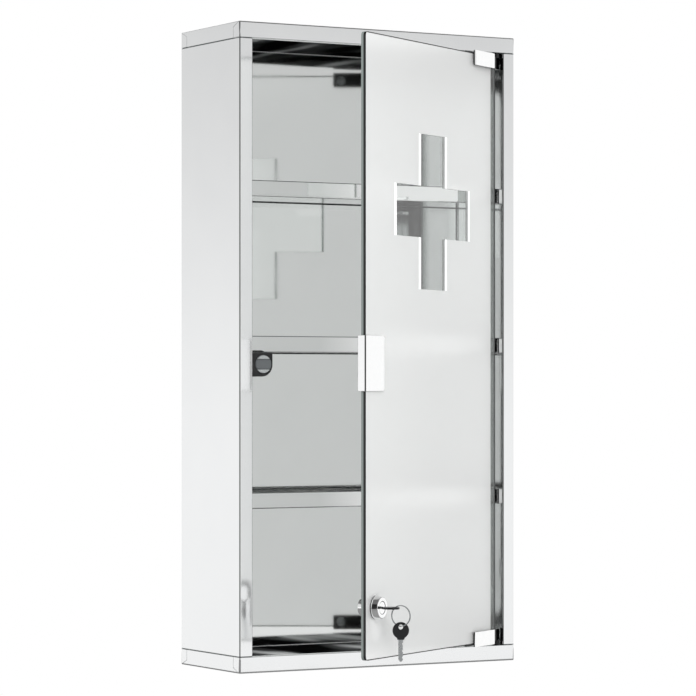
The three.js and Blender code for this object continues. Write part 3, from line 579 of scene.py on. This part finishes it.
def door_glass():
    """Toughened float glass, 5 mm, sand-blasted on the back except for a cross and the hinge edge.
    The eye sees a milky, faintly green sheet, clear windows with a bright ground rim, grey painted shade in the
    clear strip and on the shaded side of the cut, and edges painted dark as shade."""
    material, tree, shader = new_material("glass_frosted_toughened", {"IOR": 1.5})
    low, high = box_on_door("door_glass")
    middle = (low + high) / 2
    x, y, z = place_on_door(tree)

    # Where the glass is clear, ground or cut
    centre = Vector((middle.x, 0, low.z + CROSS_ABOVE_GLASS_FOOT * MM))
    cross = cross_window(tree, x, z, centre)
    grown = cross_window(tree, x, z, centre, CROSS_RIM)
    shifted = cross_window(tree, x, z, centre - Vector((CROSS_SHADE * MM, 0, 0)))
    rim = add_node(tree, "ShaderNodeMath", {0: grown, 1: cross}, operation="SUBTRACT")
    shade = add_node(tree, "ShaderNodeMath", {0: cross, 1: shifted}, operation="GREATER_THAN")
    strip = add_node(
        tree, "ShaderNodeMath", {0: x, 1: high.x - CLEAR_EDGE * MM}, operation="GREATER_THAN"
    )
    clear = add_node(tree, "ShaderNodeMath", {0: cross, 1: strip}, operation="MAXIMUM")
    blasted = add_node(tree, "ShaderNodeMath", {0: 1.0, 1: clear}, operation="SUBTRACT")
    behind = add_node(tree, "ShaderNodeMath", {0: y, 1: middle.y}, operation="GREATER_THAN")
    edge = glass_edge(tree, z)

    # Sand-blast pits are about 0.05 mm wide. They are drawn wider so that they can show.
    place = add_node(tree, "ShaderNodeTexCoord").outputs["Object"]
    pits = add_node(
        tree, "ShaderNodeTexNoise", {"Vector": place, "Scale": per_mm(BLAST_PIT), "Detail": 3.0}
    )
    uneven = add_node(
        tree,
        "ShaderNodeMapRange",
        {
            "Value": pits,
            "From Min": NOISE_LOW,
            "From Max": NOISE_HIGH,
            "To Min": FROST_UNEVEN[0],
            "To Max": FROST_UNEVEN[1],
        },
    )
    rough = add_node(
        tree, "ShaderNodeMapRange", {"Value": behind, "To Min": FROST_ROUGH[0], "To Max": FROST_ROUGH[1]}
    )
    for part in (uneven, blasted):
        rough = add_node(tree, "ShaderNodeMath", {0: rough, 1: part}, operation="MULTIPLY")
    cut_rough = add_node(tree, "ShaderNodeMath", {0: edge, 1: EDGE_ROUGH}, operation="MULTIPLY")
    rough = add_node(tree, "ShaderNodeMath", {0: rough, 1: cut_rough}, operation="MAXIMUM")

    # Frost, then the windows with grey painted shade, the ground rim and the edges painted dark as shade over it
    colour = add_node(
        tree,
        "ShaderNodeMix",
        {"Factor": pits, "A": linear("#f9fbfa"), "B": linear("#ffffff")},
        data_type="RGBA",
    )
    # Painted shade: the clear strip and the shaded side of the cut are tinted grey
    greyer = add_node(tree, "ShaderNodeMath", {0: strip, 1: shade}, operation="MAXIMUM")
    window = add_node(
        tree,
        "ShaderNodeMix",
        {"Factor": greyer, "A": linear("#fbfdfc"), "B": linear("#9aa09d")},
        data_type="RGBA",
    )
    depth = add_node(
        tree,
        "ShaderNodeMapRange",
        {"Value": y, "From Min": -EDGE_MIDDLE * MM, "From Max": EDGE_MIDDLE * MM},
    )
    # Painted shade on the cut edge: black at the front, grey at the back
    cut = add_node(
        tree,
        "ShaderNodeMix",
        {"Factor": depth, "A": linear("#050807"), "B": linear("#6f7674")},
        data_type="RGBA",
    )
    for mask, tint in ((clear, window), (rim, linear("#fdfefe")), (edge, cut)):
        colour = add_node(
            tree, "ShaderNodeMix", {"Factor": mask, "A": colour, "B": tint}, data_type="RGBA"
        )

    # Light that reaches a blasted face from within the sheet goes on through it
    within = add_node(tree, "ShaderNodeNewGeometry").outputs["Backfacing"]
    outside = add_node(tree, "ShaderNodeMath", {0: 1.0, 1: within}, operation="SUBTRACT")
    before = add_node(tree, "ShaderNodeMath", {0: outside, 1: behind}, operation="GREATER_THAN")
    ground = add_node(tree, "ShaderNodeMath", {0: rim, 1: before}, operation="MULTIPLY")
    milk = add_node(
        tree, "ShaderNodeMapRange", {"Value": behind, "To Min": FROST_MILK[0], "To Max": FROST_MILK[1]}
    )
    for mask in (blasted, outside):
        milk = add_node(tree, "ShaderNodeMath", {0: milk, 1: mask}, operation="MULTIPLY")
    for mask in (ground, edge):
        milk = add_node(tree, "ShaderNodeMath", {0: milk, 1: mask}, operation="MAXIMUM")
    through = add_node(tree, "ShaderNodeMath", {0: 1.0, 1: milk}, operation="SUBTRACT")

    feed(tree, shader, {"Base Color": colour, "Roughness": rough, "Transmission Weight": through})
    return material


def slot_finishes():
    """One material for each of the record's slots."""
    return {
        # Dark lines of painted shade and dark reflection at the caps' folds and at the joints under them
        "outer_steel": mirror_steel(
            "stainless_steel_polished", ("#ecedee", "#f2f3f3"), (0.06, 0.13), cap_folds()
        ),
        "inner_steel": mirror_steel("stainless_steel_mirror", ("#f3f4f3", "#f9faf9"), (0.03, 0.08)),
        # Painted dark reflection with paler painted streaks
        "dark_steel": painted_dark_steel(),
        "chrome": plated_metal("chrome_plate_bright", ("#f8f9f9", "#ffffff"), (0.03, 0.09), speck=4),
        "zinc_steel": plated_metal("zinc_plated_steel", ("#b9bdbe", "#d0d3d4"), (0.2, 0.38), speck=0.7),
        "brass": plated_metal("brass_stamped", ("#c9a85a", "#d9bc78"), (0.2, 0.35), speck=0.7),
        "frosted_glass": door_glass(),
        "black_plastic": moulded(
            "abs_black_moulded", ("#0b0b0c", "#17181a"), (0.3, 0.45), grain=0.5, depth=0.03
        ),
        "magnet": moulded("ferrite_sintered", ("#4c4f50", "#63676a"), (0.45, 0.6), grain=0.4, depth=0.05),
        "rubber": moulded("rubber_black_sheet", ("#0a0a0a", "#141414"), (0.7, 0.85), grain=0.4, depth=0.03),
    }


def own_finishes():
    """Materials of the nodes that differ from the rest of their slot."""
    shelf = shelf_steel()
    hinge = hinge_chrome()
    return {
        "back_panel": back_steel(),
        **{f"{level}_shelf": shelf for level in LEVELS},
        **{f"{end}_hinge_plate": hinge for end in ENDS},
        "lock_cam": plated_metal(
            "zinc_plated_steel_bright", ("#fafbfb", "#ffffff"), (0.05, 0.12), speck=3
        ),
        "key_ring": plated_metal(
            "spring_steel_nickel_plated", ("#8c8f90", "#a4a7a8"), (0.15, 0.3), speck=0.7
        ),
    }


def soften(node, radius):
    """Rounds a node's sharp edges, so that they catch the light as folded or moulded edges do."""
    piece = nodes[node]
    close = piece.modifiers.new("close", "WELD")
    close.merge_threshold = MERGE
    flatten = piece.modifiers.new("flatten", "DECIMATE")
    flatten.decimate_type = "DISSOLVE"
    flatten.angle_limit = FLAT
    round_off = piece.modifiers.new("round", "BEVEL")
    round_off.width = radius * MM
    round_off.segments = SOFT_STEPS
    round_off.limit_method = "ANGLE"
    round_off.angle_limit = SOFT


def copy_of(node):
    """A node's shape as whole flat faces."""
    form = bmesh.new()
    form.from_mesh(nodes[node].data)
    bmesh.ops.remove_doubles(form, verts=form.verts, dist=MERGE)
    bmesh.ops.dissolve_limit(form, angle_limit=FLAT, verts=form.verts, edges=form.edges)
    return form


def round_edges(form, edges, radius):
    """Rounds some edges of a form by a radius in millimetres."""
    bmesh.ops.bevel(
        form,
        geom=edges,
        offset=radius * MM,
        segments=ROUND_STEPS,
        profile=0.5,
        affect="EDGES",
        material=-1,
        clamp_overlap=True,
    )


def show(form, name, node, material):
    """Makes a piece of a finished form, which stands for the node and moves with its body."""
    mesh = bpy.data.meshes.new(name)
    form.to_mesh(mesh)
    form.free()
    mesh.shade_smooth()
    mesh.set_sharp_from_angle(angle=SHARP)
    mesh.materials.append(material)
    piece = bpy.data.objects.new(name, mesh)
    bpy.context.scene.collection.objects.link(piece)
    even = piece.modifiers.new("even_shading", "WEIGHTED_NORMAL")
    even.keep_sharp = True
    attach(piece, body_of[node])
    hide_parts(node)


def round_piece(node, radius, material):
    """A node with its sharp edges rounded and its curves shaded smooth."""
    form = copy_of(node)
    sharp = [e for e in form.edges if len(e.link_faces) == 2 and e.calc_face_angle() > SHARP]
    round_edges(form, sharp, radius)
    show(form, node + "_rounded", node, material)


def recessed_screw(node, material):
    """A screw with its head's rim rounded and a cross recess pressed into the head."""
    form = copy_of(node)
    top = max(form.faces, key=lambda face: face.calc_area())
    axis, centre = top.normal.copy(), top.calc_center_median()
    radius = max((v.co - centre).length for v in top.verts)
    round_edges(form, top.edges[:], SCREW_ROUND)
    across = axis.orthogonal().normalized()
    up = axis.cross(across)
    long, wide = RECESS_LENGTH * radius, RECESS_WIDTH * radius

    def head_faces():
        return [f for f in form.faces if abs((f.calc_center_median() - centre).dot(axis)) < MERGE]

    for side in (across, up):
        for distance in (-long, -wide, wide, long):
            faces = head_faces()
            edges = {e for f in faces for e in f.edges}
            corners = {v for f in faces for v in f.verts}
            bmesh.ops.bisect_plane(
                form,
                geom=[*faces, *edges, *corners],
                dist=MERGE,
                plane_co=centre + side * distance,
                plane_no=side,
            )
    pressed = []
    for face in head_faces():
        from_centre = face.calc_center_median() - centre
        near, far = sorted((abs(from_centre.dot(across)), abs(from_centre.dot(up))))
        if near < wide and far < long:
            pressed.append(face)
    pushed = bmesh.ops.extrude_face_region(form, geom=pressed)["geom"]
    floor = [part for part in pushed if isinstance(part, bmesh.types.BMVert)]
    bmesh.ops.translate(form, verts=floor, vec=-axis * RECESS_DEPTH * MM)
    bmesh.ops.delete(form, geom=pressed, context="FACES")
    show(form, node + "_recessed", node, material)


def split_ring(material):
    """The key ring: flat spring wire wound twice round."""
    low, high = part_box("key_ring")
    upright = Matrix.Rotation(math.radians(90), 4, "Y")
    place = Matrix.Translation((low + high) / 2) @ door_place.to_3x3().to_4x4() @ upright
    half = RING_WIRE / RING_TURNS / 2
    wide = RING_WIRE_WIDTH / 2
    thick = half - RING_GAP / 2
    corners = [(-wide, -thick), (wide, -thick), (wide, thick), (-wide, thick)]
    form = bmesh.new()
    section = [form.verts.new(((RING_RADIUS + r) * MM, 0, (z - half) * MM)) for r, z in corners]
    form.faces.new(section)
    bmesh.ops.spin(
        form,
        geom=form.verts[:] + form.edges[:] + form.faces[:],
        cent=(0, 0, 0),
        axis=(0, 0, 1),
        dvec=(0, 0, RING_WIRE * MM / RING_STEPS),
        angle=RING_TURNS * 2 * math.pi,
        steps=RING_STEPS,
        use_merge=False,
    )
    bmesh.ops.recalc_face_normals(form, faces=form.faces)
    bmesh.ops.transform(form, matrix=place, verts=form.verts)
    show(form, "split_key_ring", "key_ring", material)


def dress_nodes():
    """Gives every node its finish and soft edges, and makes the pieces that stand for some of them."""
    by_slot = slot_finishes()
    finish = {node: by_slot[slot] for node, slot in slot_of.items()} | own_finishes()
    for node, slot in slot_of.items():
        nodes[node].data.materials.clear()
        nodes[node].data.materials.append(finish[node])
        soften(node, EDGE_ROUND[slot])
    for node, radius in ROUND_PIECES.items():
        round_piece(node, radius, finish[node])
    for node in slot_of:
        if "_screw_" in node:
            recessed_screw(node, finish[node])
    split_ring(finish["key_ring"])


def studio():
    """White surroundings, dark above and grey below, with a bright panel on the right for the plated
    pieces and a dark part behind the camera that gives folds and round metal their dark lines.
    Glass lets in a little less light than the white that the camera sees."""
    scene = bpy.context.scene
    scene.view_settings.view_transform = "Standard"
    world = bpy.data.worlds.new("studio")
    scene.world = world
    world.use_nodes = True
    tree = world.node_tree
    rays = add_node(tree, "ShaderNodeLightPath").outputs
    way = add_node(tree, "ShaderNodeTexCoord").outputs["Generated"]
    x, _, z = add_node(tree, "ShaderNodeSeparateXYZ", {"Vector": way}).outputs
    dark = add_node(tree, "ShaderNodeVectorMath", {0: way, 1: DARK_SIDE}, operation="DOT_PRODUCT")
    lights = []
    for value, (start, end, first, last) in (
        (z, HORIZON_LIGHT),
        (x, PANEL_LIGHT),
        (dark, DARK_LIGHT),
        (z, SKY_LIGHT),
        (z, GROUND_LIGHT),
    ):
        light = add_node(
            tree,
            "ShaderNodeMapRange",
            {"Value": value, "From Min": start, "From Max": end, "To Min": first, "To Max": last},
            interpolation_type="SMOOTHSTEP",
        )
        lights.append(light)
    horizon, panel, *shades = lights
    mirrored = add_node(tree, "ShaderNodeMath", {0: horizon, 1: panel}, operation="MAXIMUM")
    for shade in shades:
        mirrored = add_node(tree, "ShaderNodeMath", {0: mirrored, 1: shade}, operation="MULTIPLY")
    strength = 1.0
    for ray, light in (
        ("Is Glossy Ray", mirrored),
        ("Is Transmission Ray", GLASS_LIGHT),
        ("Is Camera Ray", 1.0),
    ):
        strength = add_node(tree, "ShaderNodeMix", {"Factor": rays[ray], "A": strength, "B": light})
    feed(tree, tree.nodes["Background"], {"Color": linear("#ffffff"), "Strength": strength})


def soft_lamp():
    """A large lamp before the cabinet, above on the left, which bright metal doesn't mirror."""
    lamp = bpy.data.lights.new("soft_lamp", "AREA")
    lamp.shape = "SQUARE"
    lamp.size = LAMP_SIZE
    lamp.energy = LAMP_POWER
    holder = bpy.data.objects.new("soft_lamp", lamp)
    holder.location = LAMP_PLACE
    holder.rotation_euler = (Vector(LAMP_AIM) - holder.location).to_track_quat("-Z", "Y").to_euler()
    holder.visible_glossy = False
    bpy.context.scene.collection.objects.link(holder)


def photo_camera():
    """The camera of the photograph, level and shifted up."""
    view = bpy.data.cameras.new("camera")
    view.lens = CAMERA_LENS
    view.sensor_width = CAMERA_SENSOR
    view.shift_y = CAMERA_SHIFT_UP
    view.clip_end = CAMERA_REACH
    camera = bpy.data.objects.new("camera", view)
    camera.location = CAMERA_PLACE
    camera.rotation_euler = (math.pi / 2, 0, -math.radians(CAMERA_YAW))
    bpy.context.scene.collection.objects.link(camera)
    bpy.context.scene.camera = camera


def pale_floor():
    """Matt pale floor paint, which keeps a soft shadow and is greyer where bright metal mirrors it."""
    mesh = bpy.data.meshes.new("floor")
    form = bmesh.new()
    bmesh.ops.create_grid(form, x_segments=1, y_segments=1, size=FLOOR_SIZE / 2)
    bmesh.ops.translate(form, verts=form.verts, vec=(0, 0, cad_box[0][2] - FLOOR_BELOW))
    form.to_mesh(mesh)
    form.free()
    floor = bpy.data.objects.new("floor", mesh)
    bpy.context.scene.collection.objects.link(floor)
    material, tree, shader = new_material("floor_paint_matt_white", {"Roughness": 0.9})
    rays = add_node(tree, "ShaderNodeLightPath").outputs
    mirrored = add_node(
        tree,
        "ShaderNodeMath",
        {0: rays["Is Glossy Ray"], 1: rays["Is Transmission Ray"]},
        operation="GREATER_THAN",
    )
    colour = add_node(
        tree,
        "ShaderNodeMix",
        {"Factor": mirrored, "A": linear("#e6e6e6"), "B": linear("#808080")},
        data_type="RGBA",
    )
    feed(tree, shader, {"Base Color": colour})
    mesh.materials.append(material)


dress_nodes()
studio()
soft_lamp()
photo_camera()
pale_floor()

bpy.context.view_layer.update()
